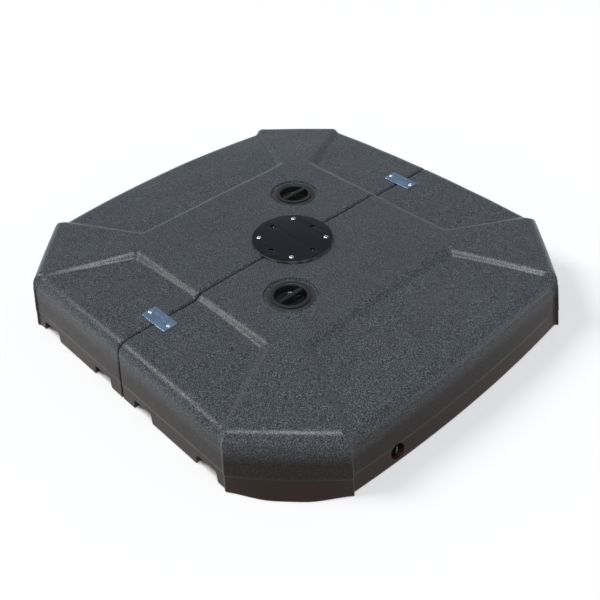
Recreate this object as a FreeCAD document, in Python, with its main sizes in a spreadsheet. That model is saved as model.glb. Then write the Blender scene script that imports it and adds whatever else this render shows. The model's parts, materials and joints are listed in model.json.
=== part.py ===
"""Two-part fillable base for a side-pole parasol: two blow-moulded tanks, strapped together, that
carry a round steel mast plate. Millimetres, +Z up, origin on the ground below the mast plate.
The seam between the tanks lies on X = 0, and each left-hand piece is the right-hand one turned
half a turn about Z."""

import FreeCAD, Part
import math
import os

import Sketcher
from FreeCAD import Placement, Rotation, Vector

SIZES = {
    # outline of the moulding on the ground
    "side_y_low": 487, "block_y_low": 492, "block_y_end_low": 332,
    "side_x_low": 500, "side_x_bow_low": 16, "block_x_low": 507, "block_x_end_low": 330,
    # the same outline at the height where the drafted walls are closed off
    "envelope_height": 160,
    "side_y_high": 472, "block_y_high": 476, "block_y_end_high": 321,
    "side_x_high": 474.5, "side_x_bow_high": 8.5, "block_x_high": 481, "block_x_end_high": 319,
    "corner_bow_low": 14, "corner_bow_high": 1, "block_step": 4.5,
    # top relief: plateau, crowned panels and the four sloping arms
    "plateau_height": 152, "plateau_half": 268, "plateau_corner": 219, "plateau_spread": 26,
    "plateau_root": 122, "panel_crown": 142, "panel_edge": 132, "panel_half": 320,
    "arm_end_height": 137, "arm_end_half": 113, "arm_end_distance": 569, "rim_radius": 18,
    "rim_margin": 6,
    # walls, seam and underside
    "wall": 5, "seam_half_gap": 1.5, "channel_height": 23,
    "channel_inner": 40, "channel_inner_width": 63, "channel_outer": 242, "channel_outer_width": 65,
    # mast plate
    "hole_clearance": 0.3, "edge_break": 1, "seal_margin": 0.5,
    "plate_radius": 92, "plate_thickness": 6, "seat_radius": 97, "seat_depth": 26,
    "mast_circle": 64, "mast_hole_radius": 5.25, "nut_flat_half": 8.5, "nut_height": 8,
    "nut_pocket_radius": 12, "nut_pocket_depth": 17,
    "screw_circle": 75, "screw_radius": 2.5, "screw_length": 22, "screw_head_radius": 5.5,
    "screw_head_height": 3.2, "insert_radius": 4.5, "insert_length": 18,
    # filler neck, collar and cap
    "filler_x": 140, "filler_y": 138, "dish_radius": 57, "dish_depth": 5, "dish_boss_radius": 63,
    "dish_boss_depth": 12, "neck_radius": 46, "collar_flange_radius": 51, "collar_flange": 2,
    "collar_length": 32, "collar_bore": 39.5, "cap_radius": 43, "cap_rim": 2.6, "cap_skirt": 39.45,
    "cap_skirt_length": 21, "cap_dish_radius": 34, "cap_floor": 3.5,
    "cap_dish_draft": 2, "grip_width": 9, "grip_drop": 1.2, "grip_root": 1, "grip_end_gap": 0.5,
    "seal_thickness": 1.4,
    # drain plug, low on the long wall
    "drain_x": 505, "drain_y": 212, "drain_z": 25, "drain_dish_radius": 17, "drain_dish_depth": 15,
    "drain_boss_radius": 22, "drain_boss_length": 27, "bush_radius": 12.5, "bush_length": 14,
    "bush_bore": 8.5, "plug_shank": 8.45, "plug_length": 11, "plug_head_radius": 13,
    "plug_head": 3, "plug_grip_width": 4.5, "plug_grip_height": 8, "plug_grip_gap": 2,
    "plug_seal": 1.5,
    # straps across the seam
    "strap_y": 370, "strap_half_length": 38, "strap_half_width": 18, "strap_thickness": 3,
    "strap_screw_x": 31, "strap_screw_radius": 2, "strap_screw_length": 16,
    "strap_head_radius": 5, "strap_head_height": 2.6, "strap_insert_radius": 4,
    "strap_insert_length": 14, "strap_boss_radius": 9,
}

doc = FreeCAD.newDocument("parasol_base")
sheet = doc.addObject("Spreadsheet::Sheet", "dims")
for row, (alias, number) in enumerate(SIZES.items(), start=1):
    sheet.set(f"A{row}", alias)
    sheet.set(f"B{row}", str(number))
    sheet.setAlias(f"B{row}", alias)
doc.recompute()


class Size:
    """A length that knows its value and the sheet expression that gives it."""

    def __init__(self, value, text):
        self.value = value
        self.text = text

    def combine(self, other, sign, result):
        right = other.text if isinstance(other, Size) else str(other)
        return Size(result, f"({self.text} {sign} {right})")

    def __add__(self, other):
        return self.combine(other, "+", self.value + number_of(other))

    def __sub__(self, other):
        return self.combine(other, "-", self.value - number_of(other))

    def __mul__(self, other):
        return self.combine(other, "*", self.value * number_of(other))

    def __truediv__(self, other):
        return self.combine(other, "/", self.value / number_of(other))

    def __neg__(self):
        return Size(-self.value, f"(-1 * {self.text})")


def number_of(length):
    return length.value if isinstance(length, Size) else float(length)


def size(alias):
    return Size(float(sheet.get(alias)), f"dims.{alias}")


def mm(alias):
    return size(alias).value


ZERO = Size(0.0, "0")
REACH = 600.0  # well past the outline in plan, for blocks that are trimmed to it


# ---------------------------------------------------------------- sketches and features

def bind(item, path, length):
    item.setExpression(path, length.text)


def new_body(label):
    body = doc.addObject("PartDesign::Body", label)
    body.Label = label
    body.AllowCompound = True
    return body


def add_sketch(body, name, role, lift=None):
    plane = [item for item in body.Origin.OriginFeatures if item.Role == role][0]
    sketch = body.newObject("Sketcher::SketchObject", name)
    sketch.AttachmentSupport = [(plane, "")]
    sketch.MapMode = "FlatFace"
    if lift is not None:
        sketch.AttachmentOffset = Placement(Vector(0, 0, lift.value), Rotation())
        bind(sketch, "AttachmentOffset.Base.z", lift)
    return sketch


def bind_point(sketch, geometry, position, x, y):
    for kind, length in (("DistanceX", x), ("DistanceY", y)):
        index = sketch.addConstraint(
            Sketcher.Constraint(kind, -1, 1, geometry, position, length.value))
        bind(sketch, f"Constraints[{index}]", length)


def draw_polygon(sketch, corners):
    points = [Vector(x.value, y.value, 0) for x, y in corners]
    count = len(points)
    first = sketch.GeometryCount
    for i in range(count):
        sketch.addGeometry(Part.LineSegment(points[i], points[(i + 1) % count]), False)
    for i in range(count):
        following = first + (i + 1) % count
        sketch.addConstraint(Sketcher.Constraint("Coincident", first + i, 2, following, 1))
        bind_point(sketch, first + i, 1, *corners[i])


def draw_circle(sketch, x, y, radius):
    centre = Vector(x.value, y.value, 0)
    circle = sketch.addGeometry(Part.Circle(centre, Vector(0, 0, 1), radius.value), False)
    bind_point(sketch, circle, 3, x, y)
    index = sketch.addConstraint(Sketcher.Constraint("Radius", circle, radius.value))
    bind(sketch, f"Constraints[{index}]", radius)


def rectangle(x_low, x_high, y_low, y_high):
    return [(x_low, y_low), (x_high, y_low), (x_high, y_high), (x_low, y_high)]


def revolve(body, name, corners, role="XZ_Plane", axis="V_Axis"):
    sketch = add_sketch(body, f"{name}_profile", role)
    draw_polygon(sketch, corners)
    turned = body.newObject("PartDesign::Revolution", name)
    turned.Profile = sketch
    turned.ReferenceAxis = (sketch, [axis])
    turned.Angle = 360
    return turned


def pad(body, name, sketch, length):
    solid = body.newObject("PartDesign::Pad", name)
    solid.Profile = sketch
    bind(solid, "Length", length)
    return solid


def pocket_through(body, name, sketch):
    cut = body.newObject("PartDesign::Pocket", name)
    cut.Profile = sketch
    cut.Type = "ThroughAll"
    cut.Midplane = True
    return cut


def repeat_round_z(body, feature, count):
    pattern = body.newObject("PartDesign::PolarPattern", f"{feature.Name}_pattern")
    axis = [item for item in body.Origin.OriginFeatures if item.Role == "Z_Axis"][0]
    pattern.Originals = [feature]
    pattern.Axis = (axis, [""])
    pattern.Angle = 360
    pattern.Occurrences = count
    body.Tip = pattern


def mirror_across(body, feature, role):
    plane = [item for item in body.Origin.OriginFeatures if item.Role == role][0]
    mirror = body.newObject("PartDesign::Mirrored", f"{feature.Name}_mirror")
    mirror.Originals = [feature]
    mirror.MirrorPlane = (plane, [""])
    body.Tip = mirror


def place(item, x, y, z, side=1):
    """Stand an item at a point; side -1 is the twin half, half a turn round the mast."""
    where = (x, y, z) if side > 0 else (-x, -y, z)
    turn = Rotation(Vector(0, 0, 1), 0 if side > 0 else 180)
    item.Placement = Placement(Vector(*[length.value for length in where]), turn)
    for letter, length in zip("xyz", where):
        bind(item, f"Placement.Base.{letter}", length)


# ---------------------------------------------------------------- the moulded tank

def bowed_edge(start, end, bow):
    """An arc from start to end whose middle stands outside the chord by bow."""
    chord = end - start
    outward = Vector(chord.y, -chord.x, 0).normalize()
    middle = (start + end) * 0.5 + outward * bow
    return Part.Arc(start, middle, end).toShape()


def outline(level, z, inset):
    """Plan outline of both tanks at one level, pulled in by inset, as a closed wire."""
    step = mm("block_step")
    block_x = mm(f"block_x_{level}") - inset
    block_y = mm(f"block_y_{level}") - inset
    side_x = mm(f"side_x_{level}") - inset
    side_y = mm(f"side_y_{level}") - inset
    end_x = mm(f"block_x_end_{level}") - inset * (math.sqrt(2) - 1)
    end_y = mm(f"block_y_end_{level}") - inset * (math.sqrt(2) - 1)
    side_bow = mm(f"side_x_bow_{level}")
    corner_bow = mm(f"corner_bow_{level}")
    edges = []
    for turn in (0, 180):
        spin = Rotation(Vector(0, 0, 1), turn)
        points = [Vector(-end_y + step, -side_y, z), Vector(end_y - step, -side_y, z),
                  Vector(end_y, -block_y, z), Vector(block_x, -end_x, z),
                  Vector(side_x, -end_x + step, z), Vector(side_x, end_x - step, z),
                  Vector(block_x, end_x, z), Vector(end_y, block_y, z),
                  Vector(end_y - step, side_y, z)]
        points = [spin.multVec(point) for point in points]
        bows = [0, 0, corner_bow, 0, side_bow, 0, corner_bow, 0]
        for start, end, rise in zip(points, points[1:], bows):
            line = Part.LineSegment(start, end).toShape()
            edges.append(bowed_edge(start, end, rise) if rise else line)
    return Part.Wire(Part.__sortEdges__(edges))


def envelope(inset):
    """The drafted outer walls of both tanks, taller than the relief that closes them."""
    low = outline("low", 0, inset)
    high = outline("high", mm("envelope_height"), inset)
    return Part.makeLoft([low, high], True, True)


def barrel(drop):
    """A panel that is crowned across X and runs right through along Y."""
    half = mm("panel_half") + 2 * mm("block_step")
    reach = 2 * REACH
    crown = Vector(0, -reach / 2, mm("panel_crown") - drop)
    edges = [Vector(side * half, -reach / 2, mm("panel_edge") - drop) for side in (-1, 1)]
    ground = [Vector(edge.x, edge.y, 0) for edge in edges]
    top = Part.Arc(edges[0], crown, edges[1]).toShape()
    sides = Part.makePolygon([edges[1], ground[1], ground[0], edges[0]])
    face = Part.Face(Part.Wire([top] + sides.Edges))
    return face.extrude(Vector(0, reach, 0))


def octagon(half, corner, z):
    points = []
    for turn in range(4):
        spin = Rotation(Vector(0, 0, 1), 90 * turn)
        points.append(spin.multVec(Vector(half, -corner, z)))
        points.append(spin.multVec(Vector(half, corner, z)))
    return Part.makePolygon(points + points[:1])


def plateau(drop):
    """The raised octagon in the middle, with sloping edges."""
    half = mm("plateau_half") - drop
    corner = mm("plateau_corner") - drop / 2
    spread = mm("plateau_spread")
    foot = octagon(half + spread, corner + spread / 2, mm("plateau_root") - drop)
    crown = octagon(half, corner, mm("plateau_height") - drop)
    return Part.makeLoft([foot, crown], True, True)


def arm(angle, drop):
    """One arm: a wedge that slopes and widens from the plateau's corner to the corner block."""
    inner_distance = (mm("plateau_half") + mm("plateau_corner")) / math.sqrt(2)
    inner_half = (mm("plateau_half") - mm("plateau_corner")) / math.sqrt(2)
    outer_distance = mm("arm_end_distance")
    length = outer_distance - inner_distance
    beyond = length * 0.2
    widen = (mm("arm_end_half") - inner_half) / length
    fall = (mm("plateau_height") - mm("arm_end_height")) / length
    wires = []
    for run in (-beyond, 0, length + beyond):
        distance = inner_distance + run
        half = inner_half + widen * max(run, 0) - drop
        height = mm("plateau_height") - fall * max(run, 0) - drop
        section = [Vector(distance, -half, 0), Vector(distance, half, 0),
                   Vector(distance, half, height), Vector(distance, -half, height)]
        wires.append(Part.makePolygon(section + section[:1]))
    wedge = Part.makeLoft(wires, True, True)
    wedge.rotate(Vector(0, 0, 0), Vector(0, 0, 1), angle)
    return wedge


def relief(drop):
    """Everything below the top surface, lowered by drop."""
    along_y = barrel(drop)
    along_x = along_y.copy()
    along_x.rotate(Vector(0, 0, 0), Vector(0, 0, 1), 90)
    arms = [arm(angle, drop) for angle in (-45, 45, 135, 225)]
    return along_y.fuse([along_x, plateau(drop)] + arms).removeSplitter()


def half_space(gap):
    return Part.makeBox(REACH, 2 * REACH, 2 * REACH, Vector(gap, -REACH, -REACH))


def channel(start, width, grow):
    """One of the grooves that part the feet, running along Y under the tank."""
    height = mm("channel_height") + grow
    corner = Vector(start - grow, -REACH, -height)
    return Part.makeBox(width + 2 * grow, 2 * REACH, 2 * height, corner)


def channels(grow):
    inner = channel(mm("channel_inner"), mm("channel_inner_width"), grow)
    outer = channel(mm("channel_outer"), mm("channel_outer_width"), grow)
    return [inner, outer]


def round_rim(solid, inset):
    """Round the upper outside edge, where the relief meets the drafted walls."""
    radius = mm("rim_radius") - inset
    margin = inset + mm("rim_margin")
    outer = []
    for edge in solid.Edges:
        middle = edge.valueAt((edge.FirstParameter + edge.LastParameter) / 2)
        across = (abs(middle.x) + abs(middle.y)) / math.sqrt(2)
        far_out = max(abs(middle.x) - mm("side_x_high"), abs(middle.y) - mm("side_y_high"),
                      across - mm("arm_end_distance")) + margin
        raised = all(vertex.Z > mm("panel_edge") / 2 for vertex in edge.Vertexes)
        if far_out > 0 and raised and edge.Length > 3 * radius:
            outer.append(edge)
    return solid.makeFillet(radius, outer)


def cavity():
    """The hollow of the right-hand tank, with solid bosses left for whatever is screwed in."""
    wall = mm("wall")
    hollow = round_rim(envelope(wall).common(relief(wall)).removeSplitter(), wall)
    hollow = hollow.common(half_space(mm("seam_half_gap") + wall))
    floor = Part.makeBox(2 * REACH, 2 * REACH, 2 * wall, Vector(-REACH, -REACH, -wall))
    top = mm("plateau_height")
    seat = Part.makeCylinder(mm("seat_radius"), top, Vector(0, 0, top - mm("seat_depth")))
    filler = Vector(mm("filler_x"), -mm("filler_y"), top - mm("dish_boss_depth"))
    dish = Part.makeCylinder(mm("dish_boss_radius"), top, filler)
    start = Vector(mm("drain_x") - mm("drain_boss_length"), -mm("drain_y"), mm("drain_z"))
    drain = Part.makeCylinder(mm("drain_boss_radius"), top, start, Vector(1, 0, 0))
    depth = mm("strap_insert_length") + wall
    bosses = []
    for side in (-1, 1):
        foot = Vector(mm("strap_screw_x"), side * mm("strap_y"), mm("panel_crown") - depth)
        bosses.append(Part.makeCylinder(mm("strap_boss_radius"), top, foot))
    return hollow.cut([floor, seat, dish, drain] + bosses + channels(wall))


def moulding():
    """The blow-moulded skin of the right-hand tank. Its bowed, drafted and crowned surfaces are
    lofted directly, and the holes are cut from it afterwards."""
    both = envelope(0).common(relief(0)).removeSplitter()
    rounded = round_rim(both, 0)
    right = rounded.common(half_space(mm("seam_half_gap")))
    return right.cut(channels(0)).cut(cavity())


def bound_cylinder(name, radius, height, x, y, z, direction=Vector(0, 0, 1)):
    drill = doc.addObject("Part::Cylinder", name)
    bind(drill, "Radius", radius)
    bind(drill, "Height", height)
    where = Vector(x.value, y.value, z.value)
    drill.Placement = Placement(where, Rotation(Vector(0, 0, 1), direction))
    for letter, length in zip("xyz", (x, y, z)):
        bind(drill, f"Placement.Base.{letter}", length)
    return drill


def tank_drills():
    """Round holes and recesses of the right-hand tank, one cylinder each."""
    top = size("plateau_height")
    drills = []
    filler = (size("filler_x"), -size("filler_y"))
    drills.append(bound_cylinder("dish_drill", size("dish_radius"), size("dish_depth") * 2,
                                 *filler, top - size("dish_depth")))
    drills.append(bound_cylinder("neck_drill", size("neck_radius"), size("dish_boss_depth") * 2,
                                 *filler, top - size("dish_boss_depth") * 1.5))
    drain = (-size("drain_y"), size("drain_z"))
    outward = Vector(1, 0, 0)
    drills.append(bound_cylinder("drain_dish_drill", size("drain_dish_radius"),
                                 size("drain_dish_depth") * 2,
                                 size("drain_x") - size("drain_dish_depth"), *drain, outward))
    drills.append(bound_cylinder("drain_drill", size("bush_radius"), size("drain_boss_length"),
                                 size("drain_x") - size("drain_boss_length") * 1.2, *drain, outward))
    for side in (-1, 1):
        diagonal = size("screw_circle") * math.sin(math.radians(45))
        drills.append(bound_cylinder("plate_insert_drill", size("insert_radius"),
                                     size("insert_length") * 2, diagonal, diagonal * side,
                                     top - size("insert_length")))
        drills.append(bound_cylinder("strap_insert_drill", size("strap_insert_radius"),
                                     size("strap_insert_length") * 2, size("strap_screw_x"),
                                     size("strap_y") * side,
                                     size("panel_crown") - size("strap_insert_length")))
        drills.append(bound_cylinder("seam_nut_drill", size("nut_pocket_radius"),
                                     size("nut_pocket_depth") * 2, ZERO, size("mast_circle") * side,
                                     top - size("nut_pocket_depth")))
    drills.append(bound_cylinder("side_nut_drill", size("nut_pocket_radius"),
                                 size("nut_pocket_depth") * 2, size("mast_circle"), ZERO,
                                 top - size("nut_pocket_depth")))
    return drills


def build_shells():
    skin = doc.addObject("Part::Feature", "moulded_skin")
    skin.Shape = moulding()
    drills = doc.addObject("Part::MultiFuse", "tank_drill_set")
    drills.Shapes = tank_drills()
    right = doc.addObject("Part::Cut", "shell_right")
    right.Base = skin
    right.Tool = drills
    doc.recompute()
    left = doc.addObject("Part::Feature", "shell_left")
    left.Shape = right.Shape
    left.Placement = Placement(Vector(0, 0, 0), Rotation(Vector(0, 0, 1), 180))
    return [right, left]


# ---------------------------------------------------------------- mast plate and its fastenings

def build_mast_plate():
    body = new_body("mast_plate")
    disc = add_sketch(body, "plate_disc", "XY_Plane", size("plateau_height"))
    draw_circle(disc, ZERO, ZERO, size("plate_radius"))
    pad(body, "plate", disc, size("plate_thickness"))
    mast = add_sketch(body, "mast_hole_sketch", "XY_Plane", size("plateau_height"))
    draw_circle(mast, size("mast_circle"), ZERO, size("mast_hole_radius"))
    repeat_round_z(body, pocket_through(body, "mast_hole", mast), 4)
    screw = add_sketch(body, "screw_hole_sketch", "XY_Plane", size("plateau_height"))
    diagonal = size("screw_circle") * math.sin(math.radians(45))
    draw_circle(screw, diagonal, diagonal, size("screw_radius") + size("hole_clearance"))
    repeat_round_z(body, pocket_through(body, "screw_hole", screw), 4)
    return body


def screw_profile(head_radius, head_height, shank_radius, length, bearing):
    """Half section of a low-domed screw whose head bears at the height given."""
    return [(ZERO, bearing - length), (shank_radius, bearing - length), (shank_radius, bearing),
            (head_radius, bearing), (head_radius, bearing + head_height * 0.35),
            (head_radius * 0.72, bearing + head_height * 0.82),
            (head_radius * 0.35, bearing + head_height), (ZERO, bearing + head_height)]


def add_round_piece(body, name, x, y, corners):
    """A solid turned about a vertical line that passes through (x, y)."""
    sketch = add_sketch(body, f"{name}_profile", "XZ_Plane", -y)
    draw_polygon(sketch, [(x + across, height) for across, height in corners])
    line = sketch.addGeometry(Part.LineSegment(Vector(x.value, 0, 0), Vector(x.value, 10, 0)), True)
    sketch.addConstraint(Sketcher.Constraint("Vertical", line))
    bind_point(sketch, line, 1, x, ZERO)
    turned = body.newObject("PartDesign::Revolution", name)
    turned.Profile = sketch
    turned.ReferenceAxis = (sketch, ["Axis0"])
    turned.Angle = 360
    return turned


def build_plate_screws():
    body = new_body("mast_plate_screws")
    diagonal = size("screw_circle") * math.sin(math.radians(45))
    bearing = size("plateau_height") + size("plate_thickness")
    corners = screw_profile(size("screw_head_radius"), size("screw_head_height"),
                            size("screw_radius"), size("screw_length"), bearing)
    repeat_round_z(body, add_round_piece(body, "plate_screw", diagonal, diagonal, corners), 4)
    return body


def build_mast_nuts():
    """Four hexagon nuts welded under the plate, for the bolts of the mast foot."""
    body = new_body("mast_nuts")
    sketch = add_sketch(body, "nut_sketch", "XY_Plane", size("plateau_height") - size("nut_height"))
    centre = size("mast_circle")
    across = size("nut_flat_half")
    half_side = across * math.tan(math.radians(30))
    corner = across / math.cos(math.radians(30))
    draw_polygon(sketch, [(centre + across, half_side), (centre, corner),
                          (centre - across, half_side), (centre - across, -half_side),
                          (centre, -corner), (centre + across, -half_side)])
    draw_circle(sketch, centre, ZERO, size("mast_hole_radius"))
    repeat_round_z(body, pad(body, "nut", sketch, size("nut_height")), 4)
    return body


def insert_profile(radius, bore, length, top):
    return rectangle(bore, radius, top - length, top)


def build_inserts(label, side, x, y, radius, bore, length, top):
    """A pair of threaded brass inserts in one tank, one on each side of the XZ plane."""
    body = new_body(label)
    corners = insert_profile(radius, bore, length, top)
    mirror_across(body, add_round_piece(body, f"{label}_one", x, y, corners), "XZ_Plane")
    place(body, ZERO, ZERO, ZERO, side)
    return body


def build_strap(label, side):
    body = new_body(label)
    base = size("panel_crown")
    sketch = add_sketch(body, f"{label}_sketch", "XY_Plane", base)
    length = size("strap_half_length")
    width = size("strap_half_width")
    draw_polygon(sketch, rectangle(-length, length, -width, width))
    for x in (size("strap_screw_x"), -size("strap_screw_x")):
        draw_circle(sketch, x, ZERO, size("strap_screw_radius") + size("hole_clearance"))
    pad(body, f"{label}_plate", sketch, size("strap_thickness"))
    place(body, ZERO, -size("strap_y"), ZERO, side)
    return body


def build_strap_screws(label, side):
    body = new_body(label)
    bearing = size("panel_crown") + size("strap_thickness")
    corners = screw_profile(size("strap_head_radius"), size("strap_head_height"),
                            size("strap_screw_radius"), size("strap_screw_length"), bearing)
    screw = add_round_piece(body, f"{label}_one", size("strap_screw_x"), ZERO, corners)
    mirror_across(body, screw, "YZ_Plane")
    place(body, ZERO, -size("strap_y"), ZERO, side)
    return body


# ---------------------------------------------------------------- filler closures

def dish_floor():
    return size("plateau_height") - size("dish_depth")


def build_filler_collar(label, side):
    body = new_body(label)
    bore = size("collar_bore")
    neck = size("neck_radius")
    flange = size("collar_flange_radius")
    seat = dish_floor()
    top = seat + size("collar_flange")
    bottom = top - size("collar_length")
    revolve(body, f"{label}_ring", [
        (bore, bottom), (neck, bottom), (neck, seat), (flange, seat), (flange, top), (bore, top)])
    place(body, size("filler_x"), -size("filler_y"), ZERO, side)
    return body


def build_filler_seal(label, side):
    body = new_body(label)
    base = dish_floor() + size("collar_flange")
    corners = rectangle(size("collar_bore") + size("hole_clearance"),
                        size("cap_radius") - size("seal_margin"), base,
                        base + size("seal_thickness"))
    revolve(body, f"{label}_ring", corners)
    place(body, size("filler_x"), -size("filler_y"), ZERO, side)
    return body


def build_filler_cap(label, side):
    """A screw cap: a rim over the seal, a threaded skirt, and a deep dish with a grip across it."""
    body = new_body(label)
    under = dish_floor() + size("collar_flange") + size("seal_thickness")
    top = under + size("cap_rim")
    bottom = under - size("cap_skirt_length")
    floor = bottom + size("cap_floor")
    edge = size("edge_break")
    skirt = size("cap_skirt")
    rim = size("cap_radius")
    dish = size("cap_dish_radius")
    revolve(body, f"{label}_cup", [
        (ZERO, bottom), (skirt, bottom), (skirt, under), (rim, under), (rim, top - edge),
        (rim - edge, top), (dish, top), (dish - size("cap_dish_draft"), floor), (ZERO, floor)])
    sunk = size("grip_root")
    grip = add_sketch(body, f"{label}_grip_sketch", "XY_Plane", floor - sunk)
    width = size("grip_width") / 2
    reach = dish - size("grip_end_gap")
    draw_polygon(grip, rectangle(-width, width, -reach, reach))
    rise = size("cap_skirt_length") + size("cap_rim") - size("cap_floor") - size("grip_drop")
    pad(body, f"{label}_grip", grip, rise + sunk)
    place(body, size("filler_x"), -size("filler_y"), ZERO, side)
    return body


# ---------------------------------------------------------------- drain closures

def drain_seat():
    return -size("drain_dish_depth")


def build_drain(label, side, corners):
    """A piece turned about the drain's horizontal axis, +X out of the tank."""
    body = new_body(label)
    revolve(body, f"{label}_turned", corners, axis="H_Axis")
    place(body, size("drain_x"), -size("drain_y"), size("drain_z"), side)
    return body


def build_drain_bush(label, side):
    seat = drain_seat()
    return build_drain(label, side, rectangle(seat - size("bush_length"), seat,
                                              size("bush_bore"), size("bush_radius")))


def build_drain_seal(label, side):
    seat = drain_seat()
    return build_drain(label, side, rectangle(seat, seat + size("plug_seal"),
                                              size("plug_shank") + size("hole_clearance"),
                                              size("plug_head_radius") - size("seal_margin")))


def build_drain_plug(label, side):
    seat = drain_seat() + size("plug_seal")
    face = seat + size("plug_head")
    end = seat - size("plug_length")
    edge = size("edge_break")
    head = size("plug_head_radius")
    shank = size("plug_shank")
    body = build_drain(label, side, [
        (end, ZERO), (face, ZERO), (face, head - edge), (face - edge, head), (seat, head),
        (seat, shank), (end, shank)])
    grip = add_sketch(body, f"{label}_grip_sketch", "YZ_Plane", face - size("grip_root"))
    width = size("plug_grip_width") / 2
    reach = head - size("plug_grip_gap")
    draw_polygon(grip, rectangle(-width, width, -reach, reach))
    pad(body, f"{label}_grip", grip, size("plug_grip_height"))
    return body


# ---------------------------------------------------------------- assembly

def build_all():
    pieces = build_shells()
    pieces += [build_mast_plate(), build_plate_screws(), build_mast_nuts()]
    diagonal = size("screw_circle") * math.sin(math.radians(45))
    halves = (("right", "front", 1), ("left", "rear", -1))
    for half, end, side in halves:
        pieces.append(build_inserts(f"plate_inserts_{half}", side, diagonal, diagonal,
                                    size("insert_radius"), size("screw_radius"),
                                    size("insert_length"), size("plateau_height")))
        pieces.append(build_inserts(f"strap_inserts_{half}", side, size("strap_screw_x"),
                                    size("strap_y"), size("strap_insert_radius"),
                                    size("strap_screw_radius"), size("strap_insert_length"),
                                    size("panel_crown")))
        pieces.append(build_strap(f"joining_strap_{end}", side))
        pieces.append(build_strap_screws(f"strap_screws_{end}", side))
        pieces.append(build_filler_collar(f"filler_collar_{half}", side))
        pieces.append(build_filler_seal(f"filler_seal_{half}", side))
        pieces.append(build_filler_cap(f"filler_cap_{half}", side))
        pieces.append(build_drain_bush(f"drain_bush_{half}", side))
        pieces.append(build_drain_seal(f"drain_seal_{half}", side))
        pieces.append(build_drain_plug(f"drain_plug_{half}", side))
    return pieces


pieces = build_all()
doc.recompute()

for item in doc.Objects:
    if "Invalid" in item.State or "Error" in item.State:
        raise RuntimeError(f"{item.Label} failed: {item.State}")
for piece in pieces:
    if piece.Shape.isNull() or not piece.Shape.isValid():
        raise RuntimeError(f"{piece.Label} has no valid shape")

os.makedirs("parts", exist_ok=True)
for piece in pieces:
    piece.Shape.exportStep(f"parts/{piece.Label}.step")
    box = piece.Shape.BoundBox
    print(f"{piece.Label}: {len(piece.Shape.Solids)} solid(s), {piece.Shape.Volume / 1000:.1f} cm3, "
          f"{box.XMin:.1f}..{box.XMax:.1f} {box.YMin:.1f}..{box.YMax:.1f} {box.ZMin:.1f}..{box.ZMax:.1f}")
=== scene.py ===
"""Looks of the two-tank parasol base: pebbled moulded shells, black mast plate, screw caps, zinc
straps and drain plugs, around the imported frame. Metres, the frame's own axes."""

import json
import math

import bmesh
import bpy
import numpy as np
from mathutils import Matrix, Vector, geometry

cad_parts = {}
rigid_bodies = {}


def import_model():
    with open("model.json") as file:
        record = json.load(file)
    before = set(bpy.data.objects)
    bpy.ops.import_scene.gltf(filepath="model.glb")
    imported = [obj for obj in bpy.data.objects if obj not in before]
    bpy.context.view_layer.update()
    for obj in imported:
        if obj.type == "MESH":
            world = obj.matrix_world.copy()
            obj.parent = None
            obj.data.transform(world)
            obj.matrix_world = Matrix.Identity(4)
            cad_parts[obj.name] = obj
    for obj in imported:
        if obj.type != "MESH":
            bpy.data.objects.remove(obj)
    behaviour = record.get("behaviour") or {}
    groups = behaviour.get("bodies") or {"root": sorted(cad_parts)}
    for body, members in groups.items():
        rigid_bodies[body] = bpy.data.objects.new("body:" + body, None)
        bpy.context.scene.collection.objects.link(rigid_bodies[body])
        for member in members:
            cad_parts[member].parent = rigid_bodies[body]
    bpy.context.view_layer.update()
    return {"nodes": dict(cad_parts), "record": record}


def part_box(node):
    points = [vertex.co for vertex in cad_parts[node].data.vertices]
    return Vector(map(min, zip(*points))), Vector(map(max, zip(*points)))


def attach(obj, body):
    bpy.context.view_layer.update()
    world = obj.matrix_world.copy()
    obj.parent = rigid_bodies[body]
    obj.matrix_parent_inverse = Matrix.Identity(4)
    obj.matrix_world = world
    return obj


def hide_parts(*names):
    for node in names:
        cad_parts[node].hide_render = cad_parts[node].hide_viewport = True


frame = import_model()

# ---------------------------------------------------------------- sizes of the moulded tank
# Pairs are (on the ground, at the height where the drafted walls would close).
ENVELOPE_HEIGHT = 0.160
SIDE_Y = (0.487, 0.472)
BLOCK_Y = (0.492, 0.476)
BLOCK_Y_END = (0.332, 0.321)
SIDE_X = (0.500, 0.4745)
SIDE_X_BOW = (0.016, 0.0085)
BLOCK_X = (0.507, 0.481)
BLOCK_X_END = (0.330, 0.319)
CORNER_BOW = ((0, 0.0075), (0.040, 0.0065), (0.117, 0.0015))
SKIRT_FLARE = 0.0105
SKIRT_RISE = 0.38
BLOCK_STEP = 0.0045
SEAM_HALF_GAP = 0.0015

PLATEAU_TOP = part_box("mast_plate")[0][2]
PLATEAU_HALF = 0.268
PLATEAU_CORNER = 0.219
PLATEAU_SLOPE = 1.05
PANEL_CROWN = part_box("joining_strap_front")[0][2]
PANEL_EDGE = 0.132
PANEL_HALF = 0.320
SIDE_FALL = 0.006
ARM_END_TOP = 0.137
ARM_END_HALF = 0.113
ARM_END_DISTANCE = 0.569
ARM_OVERLAP = 0.030
CREST_BLEND = 0.012
SLOPE_BLEND = 0.009
PANEL_BLEND = 0.0045
SAG = 0.00035

PANEL_RIM = 0.027
BLOCK_RIM = 0.025
SEAM_RIM = 0.006
RIM_LEVEL = 0.118
RIM_ANGLES = (0, 12, 24, 35, 45, 55, 64, 72, 79, 85)
LIP_HEIGHT = 0.040
LIP_DEPTH = 0.0008
LIP_START = 0.001
LIP_STEPS = ((0.0007, 0.4), (0.0013, 0.9), (0.002, 1.0))
FOOT_ROUND = 0.0035
CHANNELS = ((0.040, 0.103), (0.242, 0.307))
CHANNEL_HEIGHT = 0.023
CHANNEL_FLANK = 0.004

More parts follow.
